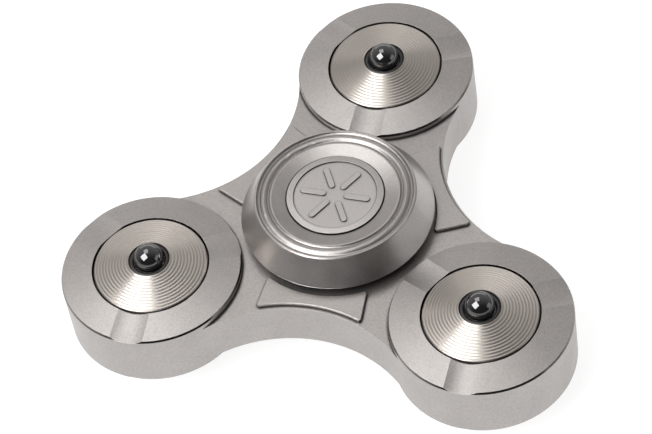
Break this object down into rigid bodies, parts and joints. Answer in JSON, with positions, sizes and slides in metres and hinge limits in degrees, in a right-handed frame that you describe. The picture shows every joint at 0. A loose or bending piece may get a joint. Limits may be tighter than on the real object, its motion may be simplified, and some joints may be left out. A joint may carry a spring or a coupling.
{
  "type": "fidget spinner",
  "caption": "Hand fidget spinner: a flat grey metal frame with round weighted lobes turns on a ball bearing between dished finger buttons.",
  "frame": {"origin": "middle of the ball bearing, on the spin axis and the middle plane", "axes": "+Z along the spin axis, out of the upper button; +Y towards one lobe, called the rear lobe; +X completes the frame"},
  "size_m": [0.0614, 0.056, 0.0158],
  "materials": {
    "blasted_metal": "bead blasted, matt",
    "button_metal": "fine blasted, satin",
    "turned_metal": "turned in fine rings",
    "black_ceramic": "polished",
    "black_rubber": "satin",
    "bearing_steel": "ground and polished",
    "cage_brass": "stamped"
  },
  "bodies": {
    "hub": {"upper_button": "button_metal", "lower_button": "button_metal", "upper_medallion": "button_metal", "lower_medallion": "button_metal", "bearing_inner_race": "bearing_steel", "upper_shim": "bearing_steel", "lower_shim": "bearing_steel"},
    "rotor": {"rotor_frame": "blasted_metal", "upper_weight_rear": "turned_metal", "upper_weight_left": "turned_metal", "upper_weight_right": "turned_metal", "lower_weight_rear": "turned_metal", "lower_weight_left": "turned_metal", "lower_weight_right": "turned_metal", "upper_ball_rear": "black_ceramic", "upper_ball_left": "black_ceramic", "upper_ball_right": "black_ceramic", "lower_ball_rear": "black_ceramic", "lower_ball_left": "black_ceramic", "lower_ball_right": "black_ceramic", "upper_seal_rear": "black_rubber", "upper_seal_left": "black_rubber", "upper_seal_right": "black_rubber", "lower_seal_rear": "black_rubber", "lower_seal_left": "black_rubber", "lower_seal_right": "black_rubber", "bearing_outer_race": "bearing_steel", "bearing_retaining_ring": "blasted_metal"},
    "cage": {"bearing_cage": "cage_brass", "bearing_balls": "bearing_steel"}
  },
  "joints": [
    {"name": "spin", "type": "hinge", "parent": "hub", "child": "rotor", "pos_m": [0, 0, 0], "axis": [0, 0, 1], "continuous": true},
    {"name": "cage_orbit", "type": "hinge", "parent": "hub", "child": "cage", "pos_m": [0, 0, 0], "axis": [0, 0, 1], "continuous": true}
  ],
  "couplings": [
    {"joint": "cage_orbit", "follows": "spin", "ratio": 0.5834}
  ]
}
